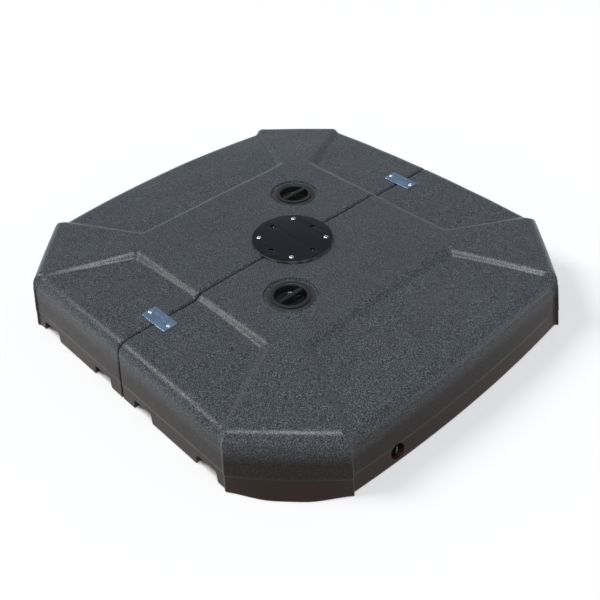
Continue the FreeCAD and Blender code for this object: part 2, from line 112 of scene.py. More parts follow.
DISH_RADIUS = 0.057
DISH_DEPTH = 0.005
DISH_EDGE = 0.0018
WELL_RADIUS = 0.088
WELL_DEPTH = 0.017
WELL_EDGE = 0.002
SEAT_RADIUS = 0.090
SEAT_FADE = 0.050
CAP_DISH_RADIUS = 0.0345
NECK_RADIUS = 0.0465
NECK_FLOOR = 0.110
DRAIN_RECESS_RADIUS = 0.017

DIAGONALS = ((1, 1), (-1, 1), (-1, -1), (1, -1))
MAST_CIRCLE = 0.064
MAST_HOLES = [(MAST_CIRCLE, 0), (0, MAST_CIRCLE), (-MAST_CIRCLE, 0), (0, -MAST_CIRCLE)]
MAST_HOLE_RADIUS = 0.00525
SCREW_CIRCLE = 0.075
PLATE_SCREWS = [(sx * SCREW_CIRCLE * math.sqrt(0.5), sy * SCREW_CIRCLE * math.sqrt(0.5))
                for sx, sy in DIAGONALS]
STRAP_SCREW_X = 0.031


def middle_of(node):
    low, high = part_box(node)
    return [(a + b) / 2 for a, b in zip(low, high)]


FILLER = middle_of("filler_cap_right")
DRAIN = middle_of("drain_plug_right")
DRAIN_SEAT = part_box("drain_bush_right")[1][0]
PLATE_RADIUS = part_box("mast_plate")[1][0]


# ---------------------------------------------------------------- mesh helpers

def soft_max(a, b, blend):
    """The larger of two heights, rounded where they cross."""
    overlap = np.maximum(blend - np.abs(a - b), 0) / blend
    return np.maximum(a, b) + overlap * overlap * blend / 4


def soft_min(a, b, blend):
    return -soft_max(-a, -b, blend)


def smooth_step(x):
    x = np.clip(x, 0, 1)
    return x * x * (3 - 2 * x)


def in_scene(name, data):
    """A new object in the scene for a mesh, curve, lamp or camera."""
    item = bpy.data.objects.new(name, data)
    bpy.context.scene.collection.objects.link(item)
    return item


def new_object(name, verts, faces, smooth_angle=40):
    mesh = bpy.data.meshes.new(name)
    mesh.from_pydata([tuple(v) for v in verts], [], [tuple(f) for f in faces])
    mesh.validate()
    finish_shading(mesh, smooth_angle)
    return in_scene(name, mesh)


def finish_shading(mesh, smooth_angle):
    """Turn the faces outward and shade them smooth, but for edges sharper than the angle."""
    clean = bmesh.new()
    clean.from_mesh(mesh)
    bmesh.ops.recalc_face_normals(clean, faces=clean.faces)
    clean.to_mesh(mesh)
    clean.free()
    mesh.shade_smooth()
    mesh.set_sharp_from_angle(angle=math.radians(smooth_angle))


def evaluated_mesh(item):
    depsgraph = bpy.context.evaluated_depsgraph_get()
    return bpy.data.meshes.new_from_object(item.evaluated_get(depsgraph))


def combine(piece, operation, others, smooth_angle):
    """Cut others from the piece (DIFFERENCE) or add them to it (UNION). The others are used up."""
    for other in others:
        step = piece.modifiers.new(other.name, "BOOLEAN")
        step.operation = operation
        step.solver = "EXACT"
        step.object = other
    made = evaluated_mesh(piece)
    old = piece.data
    piece.modifiers.clear()
    piece.data = made
    bpy.data.meshes.remove(old)
    for other in others:
        bpy.data.objects.remove(other)
    finish_shading(piece.data, smooth_angle)


def placed(x, y, z, degrees, axis):
    """Matrix that turns about one axis and then moves to a point."""
    return Matrix.Translation((x, y, z)) @ Matrix.Rotation(math.radians(degrees), 4, axis)


def cylinder(name, radius, low, high, segments=96):
    """A closed cylinder along Z, used to cut with."""
    turned = [(0, low), (radius, low), (radius, high), (0, high)]
    return lathe(name, turned, segments)


def lathe(name, profile, segments=96, smooth_angle=30):
    """Turn (radius, height) points about Z. The ends close on the axis, or else on each other."""
    verts = []
    rings = []
    on_axis = 1e-7
    for radius, height in profile:
        if radius < on_axis:
            rings.append([len(verts)])
            verts.append((0, 0, height))
            continue
        ring = []
        for i in range(segments):
            angle = 2 * math.pi * i / segments
            ring.append(len(verts))
            verts.append((radius * math.cos(angle), radius * math.sin(angle), height))
        rings.append(ring)
    following = rings[1:] + rings[:1] if profile[0][0] > on_axis else rings[1:]
    faces = []
    for below, above in zip(rings, following):
        for i in range(segments):
            j = (i + 1) % segments
            if len(below) == 1:
                faces.append((below[0], above[i], above[j]))
            elif len(above) == 1:
                faces.append((below[i], above[0], below[j]))
            else:
                faces.append((below[i], above[i], above[j], below[j]))
    return new_object(name, verts, faces, smooth_angle)


def rounded(points, radius, steps=4):
    """An open polyline with each inner corner rounded; radius may be one value or one a corner."""
    radii = radius if isinstance(radius, (list, tuple)) else [radius] * (len(points) - 2)
    path = [points[0]]
    for before, corner, after, size in zip(points, points[1:], points[2:], radii):
        corner_v, before_v, after_v = Vector(corner), Vector(before), Vector(after)
        reach = min(size, (before_v - corner_v).length / 2, (after_v - corner_v).length / 2)
        start = corner_v + (before_v - corner_v).normalized() * reach
        end = corner_v + (after_v - corner_v).normalized() * reach
        for i in range(steps + 1):
            u = i / steps
            point = start * (1 - u) ** 2 + corner_v * 2 * u * (1 - u) + end * u * u
            path.append(tuple(point))
    path.append(points[-1])
    return path


def rounded_rectangle(half_x, half_y, radius, steps=6):
    points = []
    for quarter, (sx, sy) in enumerate(DIAGONALS):
        x, y = sx * (half_x - radius), sy * (half_y - radius)
        for i in range(steps + 1):
            angle = math.radians(90 * quarter + 90 * i / steps)
            points.append((x + radius * math.cos(angle), y + radius * math.sin(angle)))
    return points


def circle(x, y, radius, segments=48):
    turn = [2 * math.pi * i / segments for i in range(segments)]
    return [(x + radius * math.cos(a), y + radius * math.sin(a)) for a in turn]


def flat_plate(name, loops, thickness, edge_round):
    """A plate from z 0 up with rounded edges. Its first loop is the outline, the rest are holes."""
    curve = bpy.data.curves.new(name, "CURVE")
    curve.dimensions = "2D"
    curve.fill_mode = "BOTH"
    curve.extrude = thickness / 2 - edge_round
    curve.bevel_depth = edge_round
    curve.bevel_resolution = 3
    curve.offset = -edge_round
    for loop in loops:
        spline = curve.splines.new("POLY")
        spline.points.add(len(loop) - 1)
        for point, (x, y) in zip(spline.points, loop):
            point.co = (x, y, 0, 1)
        spline.use_cyclic_u = True
    holder = in_scene(name, curve)
    mesh = evaluated_mesh(holder)
    bpy.data.objects.remove(holder)
    mesh.transform(Matrix.Translation((0, 0, thickness / 2)))
    weld = bmesh.new()
    weld.from_mesh(mesh)
    bmesh.ops.remove_doubles(weld, verts=weld.verts, dist=1e-6)
    weld.to_mesh(mesh)
    weld.free()
    finish_shading(mesh, 50)
    return in_scene(name, mesh)


def join(name, pieces, smooth_angle):
    """One piece from several that stand apart."""
    made = bmesh.new()
    for piece in pieces:
        shape = piece.data.copy()
        shape.transform(piece.matrix_world if piece.parent else piece.matrix_basis)
        made.from_mesh(shape)
        bpy.data.meshes.remove(shape)
    for piece in pieces:
        bpy.data.objects.remove(piece)
    mesh = bpy.data.meshes.new(name)
    made.to_mesh(mesh)
    made.free()
    finish_shading(mesh, smooth_angle)
    return in_scene(name, mesh)


# ---------------------------------------------------------------- the tank's surfaces

def top_height(x, y):
    """Height of the moulded top over plan points, before its outer edge is rounded.

    Four crowned panels lie between the raised plateau in the middle and the arms that widen from
    its corners to the corner blocks. A round dish and a round well are sunk into the plateau."""
    ax, ay = np.abs(x), np.abs(y)
    panel = PANEL_CROWN - (PANEL_CROWN - PANEL_EDGE) * (np.minimum(ax, ay) / PANEL_HALF) ** 2
    panel = panel - SIDE_FALL * np.clip((ax - PLATEAU_HALF) / (SIDE_X[1] - PLATEAU_HALF), 0, 1) ** 2

    inner_distance = (PLATEAU_HALF + PLATEAU_CORNER) / math.sqrt(2)
    inner_half = (PLATEAU_HALF - PLATEAU_CORNER) / math.sqrt(2)
    length = ARM_END_DISTANCE - inner_distance
    run = (ax + ay) / math.sqrt(2) - inner_distance
    widen = (ARM_END_HALF - inner_half) / length
    beside_arm = np.abs(ax - ay) / math.sqrt(2) - inner_half - widen * np.maximum(run, 0)
    off_plateau = np.maximum(np.maximum(ax, ay) - PLATEAU_HALF, run)
    off_arm = np.maximum(beside_arm, -run - ARM_OVERLAP)
    outside = soft_min(off_plateau, off_arm, CREST_BLEND)
    level = np.zeros_like(run)
    slope_down = (PLATEAU_TOP - ARM_END_TOP) / length
    crest = PLATEAU_TOP - slope_down * soft_max(run, level, CREST_BLEND)
    raised = crest - PLATEAU_SLOPE * soft_max(outside, level, SLOPE_BLEND)

    waves = np.sin(31 * x + 1.3) * np.sin(27 * y + 0.4) + 0.6 * np.sin(53 * x - 19 * y)
    from_mast = np.hypot(x, y)
    from_filler = np.hypot(x - FILLER[0], y - FILLER[1])
    sag = SAG * waves * smooth_step((from_mast - SEAT_RADIUS) / SEAT_FADE)
    dish = DISH_DEPTH * smooth_step((DISH_RADIUS + DISH_EDGE / 2 - from_filler) / DISH_EDGE)
    well = WELL_DEPTH * smooth_step((WELL_RADIUS + WELL_EDGE / 2 - from_mast) / WELL_EDGE)
    return soft_max(panel, raised, PANEL_BLEND) + sag - dish - well


def underside_height(x):
    """Height of the underside: the feet stand on the ground and two grooves part them."""
    height = np.zeros_like(x)
    for low, high in CHANNELS:
        rise = smooth_step((x - low) / CHANNEL_FLANK)
        fall = smooth_step((x - high + CHANNEL_FLANK) / CHANNEL_FLANK)
        height = height + CHANNEL_HEIGHT * (rise - fall)
    return height


def blur(values, width, loop=True):
    """Gaussian blur along a row of samples, width in samples. An open row keeps its ends."""
    reach = int(4 * width)
    if loop:
        before, after = values[-reach:], values[:reach]
    else:
        before, after = np.repeat(values[:1], reach, axis=0), np.repeat(values[-1:], reach, axis=0)
    padded = np.concatenate([before, values, after])
    weights = np.exp(-0.5 * (np.arange(-reach, reach + 1) / width) ** 2)
    weights /= weights.sum()
    return sum(w * padded[i:i + len(values)] for i, w in enumerate(weights))


class Outline:
    """Plan outline of the right-hand tank, counter-clockwise from the seam's front.

    It is sampled about every millimetre, so the widths given to blur are in millimetres."""

    SAMPLES = (326, 6, 239, 8, 648, 8, 239, 6, 326, 972)
    SIDE, BLOCKS, SEAM = 4, (2, 6), 9

    def __init__(self):
        lows, seams, bulges, skirts = self.trace(0)
        highs = self.trace(1)[0]
        self.seam = seams
        self.block = (np.linalg.norm(bulges, axis=1) > 0).astype(float)
        self.low, self.high, self.bulge, self.skirt = (
            blur(v, 2.4) for v in (lows, highs, bulges, skirts))
        tangent = np.roll(self.low, -2, axis=0) - np.roll(self.low, 2, axis=0)
        normal = np.stack([tangent[:, 1], -tangent[:, 0]], axis=1)
        normal = blur(normal / np.linalg.norm(normal, axis=1)[:, None], 7)
        self.outward = normal / np.linalg.norm(normal, axis=1)[:, None]
        self.lip = LIP_DEPTH * (1 - blur(seams, 4))

    @staticmethod
    def trace(level):
        """At one level: the points, whether each is on the seam, and how far a corner block bows
        out and its skirt spreads there, as vectors."""
        end_x, end_y = BLOCK_X_END[level], BLOCK_Y_END[level]
        front = [(SEAM_HALF_GAP, -SIDE_Y[level]), (end_y - BLOCK_STEP, -SIDE_Y[level]),
                 (end_y, -BLOCK_Y[level]), (BLOCK_X[level], -end_x),
                 (SIDE_X[level], -end_x + BLOCK_STEP)]
        rear = [(x, -y) for x, y in reversed(front)]
        corners = [np.array(p) for p in front + rear]
        points, seams, bulges, skirts = [], [], [], []
        for i, count in enumerate(Outline.SAMPLES):
            start, end = corners[i], corners[(i + 1) % len(corners)]
            chord = (end - start) / np.linalg.norm(end - start)
            normal = np.array([chord[1], -chord[0]])
            on_block = i in Outline.BLOCKS
            for u in np.arange(count) / count:
                arch = 4 * u * (1 - u)
                spread = smooth_step(min(u, 1 - u) / SKIRT_RISE)
                bow = SIDE_X_BOW[level] * arch if i == Outline.SIDE else 0
                points.append(start * (1 - u) + end * u + normal * bow)
                seams.append(1.0 if i == Outline.SEAM else 0.0)
                bulges.append(normal * (max(arch, 1e-3) if on_block else 0))
                skirts.append(normal * (spread if on_block else 0))
        return np.array(points), np.array(seams), np.array(bulges), np.array(skirts)

    def at(self, z, pick=slice(None)):
        """Plan points of the wall, each at its own height."""
        part = (z / ENVELOPE_HEIGHT)[:, None]
        bow = np.interp(z, *zip(*CORNER_BOW))[:, None]
        flare = SKIRT_FLARE * np.clip(1 - z / LIP_HEIGHT, 0, 1)[:, None]
        wall = self.low[pick] * (1 - part) + self.high[pick] * part
        return wall + self.bulge[pick] * bow + self.skirt[pick] * flare

    def outer_line(self):
        """The outer wall at the rim's level, and the rim's radius along it. The line is open and
        runs on past the seam at both ends."""
        level = np.full(len(self.low), RIM_LEVEL)
        wall = self.at(level)[self.seam < 0.5]
        block = self.block[self.seam < 0.5]
        ends = 12
        run_on = np.linspace(-0.05, 0.004, 55)
        front = np.column_stack([run_on, np.full_like(run_on, wall[ends, 1])])
        rear = np.column_stack([run_on[::-1], np.full_like(run_on, wall[-ends, 1])])
        line = np.concatenate([front, wall[ends:-ends], rear])
        plain = np.zeros_like(run_on)
        on_block = np.concatenate([plain, block[ends:-ends], plain])
        return line, blur(PANEL_RIM + (BLOCK_RIM - PANEL_RIM) * on_block, 6, loop=False)


def distance_to_line(points, line, values):
    """Distance from each point to a polyline, and the line's value there.

    A point more than near away gets its distance to one in every stride of the line's points."""
    stride, near, batch = 20, 0.04, 2000
    rough = np.hypot(points[:, 0:1] - line[::stride, 0], points[:, 1:2] - line[::stride, 1])
    distance, value = rough.min(axis=1), values[::stride][rough.argmin(axis=1)]
    close = np.flatnonzero(distance < near)
    start, step = line[:-1], line[1:] - line[:-1]
    square = np.sum(step * step, axis=1)
    for first in range(0, len(close), batch):
        chosen = close[first:first + batch]
        part = points[chosen, None, :] - start[None, :, :]
        along = np.clip(np.sum(part * step, axis=2) / square, 0, 1)
        away = np.linalg.norm(part - along[:, :, None] * step, axis=2)
        nearest = np.argmin(away, axis=1)
        distance[chosen] = away[np.arange(len(away)), nearest]
        value[chosen] = values[nearest]
    return distance, value


def rounding(radius, distance):
    """How far a rounded edge lies below the surface, at a distance in from the wall."""
    short = np.clip(radius - distance, 0, radius)
    return radius - np.sqrt(radius * radius - short * short)


def moulded_height(points, line, radii):
    """Height of the finished top, with the outer rim and the seam's edge rounded over."""
    away, radius = distance_to_line(points, line, radii)
    seam = rounding(SEAM_RIM, points[:, 0] - SEAM_HALF_GAP)
    return top_height(*points.T) - rounding(radius, away) - seam


def sample_choice(outline):
    """Samples of the outline to keep: all at corners and channel flanks, a few between."""
    points, seam = outline.low, outline.seam > 0.5
    tangent = np.roll(points, -3, axis=0) - np.roll(points, 3, axis=0)
    heading = np.arctan2(tangent[:, 1], tangent[:, 0])
    bend = np.abs(np.angle(np.exp(1j * (np.roll(heading, -2) - np.roll(heading, 2)))))
    step = 0.001
    slope = np.abs(underside_height(points[:, 0] + step) - underside_height(points[:, 0] - step))
    busy = blur(((bend > 0.02) | (slope > 0.0002)).astype(float), 4) > 0.05
    reach = np.abs(points[:, 1])
    busy |= seam & (np.abs(reach - PLATEAU_HALF - 0.004) < 0.02)
    busy |= seam & (np.abs(reach - WELL_RADIUS) < 0.004)
    busy |= seam & (reach > SIDE_Y[1] - PANEL_RIM - 0.004)
    near_drain = np.hypot(points[:, 0] - SIDE_X[0], points[:, 1] - DRAIN[1]) < 0.028
    wanted_gap = np.where(busy, 1, np.where(near_drain, 3, 6))
    chosen = []
    gap = 0
    for i, wanted in enumerate(wanted_gap):
        gap += 1
        if gap >= wanted:
            chosen.append(i)
            gap = 0
    return np.array(chosen)


def tank_rows(outline, line, radii):
    """Rows of points from the top's edge over the rounded rim, down the wall and under the feet."""
    pick = sample_choice(outline)
    outward, lip = outline.outward[pick], outline.lip[pick]
    edge = outline.at(np.full(len(outline.low), RIM_LEVEL))[pick]
    rows = []
    for angle in np.radians(RIM_ANGLES):
        plan = edge - outward * SEAM_RIM * (1 - math.sin(angle))
        rows.append(np.column_stack([plan, moulded_height(plan, line, radii)]))
    shoulder = rows[-1][:, 2]
    lip_top = LIP_HEIGHT + LIP_START
    for part in np.linspace(0, 1, 13)[1:]:
        z = shoulder * (1 - part) + lip_top * part
        rows.append(np.column_stack([outline.at(z, pick), z]))
    foot = underside_height(outline.low[pick, 0])
    for drop, depth in LIP_STEPS:
        z = np.full(len(pick), lip_top - drop)
        rows.append(np.column_stack([outline.at(z, pick) - outward * (lip * depth)[:, None], z]))
    lip_bottom = lip_top - LIP_STEPS[-1][0]
    for part in np.linspace(0, 1, 8)[1:]:
        z = lip_bottom * (1 - part) + (foot + FOOT_ROUND) * part
        rows.append(np.column_stack([outline.at(z, pick) - outward * lip[:, None], z]))
    for angle in np.radians(np.linspace(0, 90, 6)[1:]):
        z = foot + FOOT_ROUND * (1 - np.sin(angle))
        inset = lip + FOOT_ROUND * (1 - np.cos(angle))
        rows.append(np.column_stack([outline.at(z, pick) - outward * inset[:, None], z]))
    return rows


def inside(points, loop, margin):
    """The points that lie inside a closed loop and more than margin away from its points."""
    keep = np.zeros(len(points), dtype=bool)
    following = np.roll(loop, -1, axis=0)
    batch = 4000
    for start in range(0, len(points), batch):
        part = points[start:start + batch]
        x, y = part[:, 0:1], part[:, 1:2]
        crosses = (loop[:, 1] > y) != (following[:, 1] > y)
        rise = following[:, 1] - loop[:, 1]
        rise = np.where(np.abs(rise) < 1e-12, 1e-12, rise)
        at = loop[:, 0] + (y - loop[:, 1]) * (following[:, 0] - loop[:, 0]) / rise
        within = (np.sum(crosses & (x < at), axis=1) % 2) == 1
        nearest = np.min(np.hypot(x - loop[:, 0], y - loop[:, 1]), axis=1)
        keep[start:start + batch] = within & (nearest > margin)
    return points[keep]


def triangulate(loop, extra):
    """Triangles over a closed loop and the points inside it, as indices into loop + extra."""
    coords = [Vector(p) for p in loop] + [Vector(p) for p in extra]
    count = len(loop)
    edges = [(i, (i + 1) % count) for i in range(count)]
    _, _, faces, origins, _, _ = geometry.delaunay_2d_cdt(coords, edges, [], 1, 1e-7)
    source = [origin[0] if origin else 0 for origin in origins]
    return [tuple(source[v] for v in face) for face in faces]


def top_points(outline, line, radii, loop):
    """Plan points over the top: rows along the rounded rim, an even field, and rings round the
    dish and the plate's well."""
    bands = []
    level = outline.at(np.full(len(outline.low), RIM_LEVEL))
    keep = (outline.seam < 0.5) & (np.arange(len(level)) % 4 == 0)
    rim = np.where(outline.block > 0.5, BLOCK_RIM, PANEL_RIM)[keep]
    for angle in np.radians((44, 37, 30, 23, 16, 8, 0)):
        width = rim * (1 - math.sin(angle))
        band = level[keep] - outline.outward[keep] * width[:, None]
        away = distance_to_line(band, line, radii)[0]
        bands.append(band[(away > width - 0.0004) & (away > SEAM_RIM + 0.001)])
    spacing = 0.0032
    xs = np.arange(0, SIDE_X[0], spacing)
    ys = np.arange(-SIDE_Y[0], SIDE_Y[0], spacing)
    field = np.array([(x + (spacing / 2 if j % 2 else 0), y) for j, y in enumerate(ys) for x in xs])
    from_filler = np.hypot(field[:, 0] - FILLER[0], field[:, 1] - FILLER[1])
    from_mast = np.hypot(field[:, 0], field[:, 1])
    plain = (from_filler > DISH_RADIUS + 0.0045) & (from_mast > WELL_RADIUS + 0.004)
    field = field[plain]
    away, radius = distance_to_line(field, line, radii)
    field = field[away > radius + 0.001]
    rings = []
    for offset in (-0.006, -0.0022, -0.0012, -0.0006, -0.0001, 0.0004, 0.0009, 0.0015, 0.0025):
        rings += circle(FILLER[0], FILLER[1], DISH_RADIUS + offset, 132)
    for radius in (0.052, 0.046, 0.03):
        rings += circle(FILLER[0], FILLER[1], radius, 60)
    rings.append((FILLER[0], FILLER[1]))
    for offset in (-0.004, -0.0015, -0.0005, 0.0005, 0.0015, 0.0028):
        rings += circle(0, 0, WELL_RADIUS + offset, 150)
    off_seam = 0.0003
    for radius in (0.07, 0.05, 0.03, 0.012):
        rings += circle(off_seam, 0, radius, 60)
    return inside(np.concatenate(bands + [field, np.array(rings)]), loop, 0.0012)


def underside_points(loop):
    """Plan points over the underside, close together across each groove's flanks."""
    marks = [0.02]
    for low, high in CHANNELS:
        for flank in (low, high - CHANNEL_FLANK):
            marks += list(flank + CHANNEL_FLANK * np.linspace(0, 1, 6))
        marks += [(low + high) / 2]
    marks += [0.15, 0.2, 0.35, 0.4, 0.45, 0.48]
    ys = np.linspace(-0.47, 0.47, 48)
    return inside(np.array([(x, y) for x in marks for y in ys]), loop, 0.003)


def make_tank():
    """The closed outer skin of the right-hand tank."""
    outline = Outline()
    line, radii = outline.outer_line()
    rows = tank_rows(outline, line, radii)
    count = len(rows[0])
    verts = list(np.concatenate(rows))
    faces = []
    for upper in range(len(rows) - 1):
        for i in range(count):
            j = (i + 1) % count
            a, b = upper * count, (upper + 1) * count
            faces.append((a + i, b + i, b + j, a + j))

    top_loop, sole_loop = rows[0][:, :2], rows[-1][:, :2]
    crown = top_points(outline, line, radii, top_loop)
    sole = underside_points(sole_loop)
    last_row = (len(rows) - 1) * count
    for loop, first, points, heights in (
            (top_loop, 0, crown, moulded_height(crown, line, radii)),
            (sole_loop, last_row, sole, underside_height(sole[:, 0]))):
        extra = len(verts)
        verts += list(np.column_stack([points, heights]))
        for face in triangulate(loop, points):
            faces.append(tuple(first + v if v < count else extra + v - count for v in face))

    tank = new_object("tank_right", verts, faces)
    neck = cylinder("neck_cutter", NECK_RADIUS, NECK_FLOOR, PLATEAU_TOP + 0.01)
    neck.location = (FILLER[0], FILLER[1], 0)
    recess = cylinder("recess_cutter", DRAIN_RECESS_RADIUS, 0, 0.05)
    recess.matrix_world = placed(DRAIN_SEAT, DRAIN[1], DRAIN[2], 90, "Y")
    bpy.context.view_layer.update()
    combine(tank, "DIFFERENCE", [neck, recess], 42)
    return tank


# ---------------------------------------------------------------- smaller pieces

def make_cap():
    """Filler cap: threaded skirt, flat rim and a deep dish crossed by a grip bar."""
    low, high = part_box("filler_cap_right")
    bottom, top = low[2], high[2]
    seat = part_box("filler_seal_right")[1][2]
    radius = (high[0] - low[0]) / 2
    skirt, dish, floor = 0.0393, CAP_DISH_RADIUS, bottom + 0.0036
    under_rim = seat + 0.0002
    profile = rounded([(0, bottom), (skirt, bottom), (skirt, under_rim), (radius, under_rim),
                       (radius, top), (dish + 0.0012, top), (dish - 0.0008, top - 0.004),
                       (dish - 0.0022, floor), (0, floor)],
                      [0.0012, 0.0003, 0.0006, 0.0011, 0.0012, 0.0014, 0.0035])
    shell = lathe("cap_shell", profile, 128)

    half_width, half_length, crest = 0.0045, dish - 0.0006, top - 0.0012
    foot = half_width + 0.0012
    section = rounded([(-foot, floor - 0.001), (-half_width, crest), (half_width, crest),
                       (foot, floor - 0.001)], 0.0022)
    verts, faces = [], []
    stations = [(-half_length, 0.0035), (-half_length + 0.002, 0.0009), (-half_length + 0.006, 0),
                (half_length - 0.006, 0), (half_length - 0.002, 0.0009), (half_length, 0.0035)]
    for y, sink in stations:
        for x, z in section:
            verts.append((x, y, z - sink * smooth_step((z - floor) / (crest - floor))))
    size = len(section)
    for k in range(len(stations) - 1):
        for i in range(size):
            j = (i + 1) % size
            faces.append((k * size + i, k * size + j, (k + 1) * size + j, (k + 1) * size + i))
    faces.append(tuple(range(size)))
    faces.append(tuple(range(len(verts) - size, len(verts))))
    combine(shell, "UNION", [new_object("cap_grip", verts, faces)], 28)
    return shell


def make_collar():
    """Threaded ring that lines the filler neck, with a low stepped flange."""
    low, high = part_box("filler_collar_right")
    flange, top, bottom = (high[0] - low[0]) / 2, high[2], low[2]
    bore, neck, under_flange = 0.0395, 0.0460, top - 0.002
    profile = rounded([(bore, bottom), (neck, bottom), (neck, under_flange), (flange, under_flange),
                       (flange, top - 0.0007), (flange - 0.0035, top), (bore, top), (bore, bottom)],
                      [0.0006, 0.0002, 0.0006, 0.0012, 0.0006, 0.0006])
    return lathe("collar", profile[:-1], 128)


def ring_piece(node, bore):
    """A flat round seal with soft edges, as tall and wide as its node."""
    low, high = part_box(node)
    radius, bottom, top = (high[0] - low[0]) / 2, low[2], high[2]
    start = (bore, bottom + 0.0004)
    profile = rounded([start, (bore, bottom), (radius, bottom), (radius, top), (bore, top), start],
                      0.0005, 3)
    return lathe(node, profile[:-1], 96)


def along_x(piece, node):
    """Lay a turned piece down at its node, with its axis pointing out along +X."""
    _, y, z = middle_of(node)
    piece.matrix_world = placed(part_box(node)[0][0], y, z, 90, "Y")
    return piece


def make_plug():
    """Drain plug: shank, round head and an upright finger bar. Its axis is Z here."""
    low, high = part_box("drain_plug_right")
    length = high[0] - low[0]
    head = (high[1] - low[1]) / 2
    shank = 0.0084
    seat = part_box("drain_seal_right")[1][0] - low[0]
    face = seat + 0.003
    under_head = seat + 0.0001
    profile = rounded([(0, 0), (shank, 0), (shank, under_head), (head, under_head), (head, face),
                       (0, face)], [0.0012, 0.0002, 0.0004, 0.0012])
    body = lathe("plug_body", profile, 72)
    root = 0.001
    bar = flat_plate("plug_bar", [rounded_rectangle(0.0105, 0.00225, 0.0012)],
                     length - face + root, 0.0009)
    bar.location.z = face - root
    bpy.context.view_layer.update()
    combine(body, "UNION", [bar], 28)
    return body


def make_screw(shank_radius, shank_length, head_radius, head_height):
    """Domed screw with a cross recess. The underside of its head lies at z 0."""
    dome = [(head_radius, 0.0003)]
    steps, edge = 8, 0.18
    for i in range(1, steps):
        angle = math.radians(90 * i / steps)
        height = head_height * (edge + (1 - edge) * math.sin(angle))
        dome.append((head_radius * math.cos(angle), height))
    profile = [(0, -shank_length), (shank_radius - 0.0006, -shank_length),
               (shank_radius, -shank_length + 0.0008), (shank_radius, 0), (head_radius - 0.0003, 0)]
    screw = lathe("screw", profile + dome + [(0, head_height)], 48)
    blades = []
    for turn in (0, 90):
        blade = flat_plate("blade", [rounded_rectangle(head_radius * 0.52, 0.00055, 0.0004, 2)],
                           head_height, 0.0001)
        blade.matrix_world = placed(0, 0, head_height * 0.45, turn, "Z")
        blades.append(blade)
    bpy.context.view_layer.update()
    combine(screw, "DIFFERENCE", blades, 35)
    return screw


def screw_set(name, places, seat, sizes, turns):
    """One piece holding a screw at each place, its head on the seat and its recess turned."""
    master = make_screw(*sizes)
    copies = []
    for (x, y), turn in zip(places, turns):
        copy = in_scene(name, master.data.copy())
        copy.matrix_world = placed(x, y, seat, turn, "Z")
        copies.append(copy)
    bpy.data.objects.remove(master)
    bpy.context.view_layer.update()
    return join(name, copies, 35)


def make_plate():
    """Round steel plate for the mast, with its bolt holes and screw holes."""
    low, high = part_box("mast_plate")
    loops = [circle(0, 0, (high[0] - low[0]) / 2, 180)]
    for x, y in MAST_HOLES:
        loops.append(circle(x, y, MAST_HOLE_RADIUS, 36))
    for x, y in PLATE_SCREWS:
        loops.append(circle(x, y, 0.0028, 24))
    plate = flat_plate("mast_plate_skin", loops, high[2] - low[2], 0.0009)
    plate.location.z = low[2]
    return plate


def make_strap(node, screws):
    """Flat strap with round corners and a hole for each screw."""
    low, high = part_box(node)
    middle_x, middle_y, _ = middle_of(node)
    loops = [rounded_rectangle((high[0] - low[0]) / 2, (high[1] - low[1]) / 2, 0.004)]
    for x, y in screws:
        loops.append(circle(x - middle_x, y - middle_y, 0.0024, 24))
    strap = flat_plate(node + "_skin", loops, high[2] - low[2], 0.0007)
    strap.location = (middle_x, middle_y, low[2])
    return strap


def make_nuts():
    """Hexagon nuts under the plate, one below each mast hole."""
    low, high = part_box("mast_nuts")
    reach = 0.0098
    turns = [math.radians(60 * i + 30) for i in range(6)]
    corners = [(reach * math.cos(turn), reach * math.sin(turn)) for turn in turns]
    nuts = []
    for x, y in MAST_HOLES:
        nut = flat_plate("nut", [corners, circle(0, 0, 0.0053, 36)], high[2] - low[2], 0.0006)
        nut.matrix_world = Matrix.Translation((x, y, low[2]))
        nuts.append(nut)
    bpy.context.view_layer.update()
    return join("mast_nut_set", nuts, 35)


# ---------------------------------------------------------------- materials

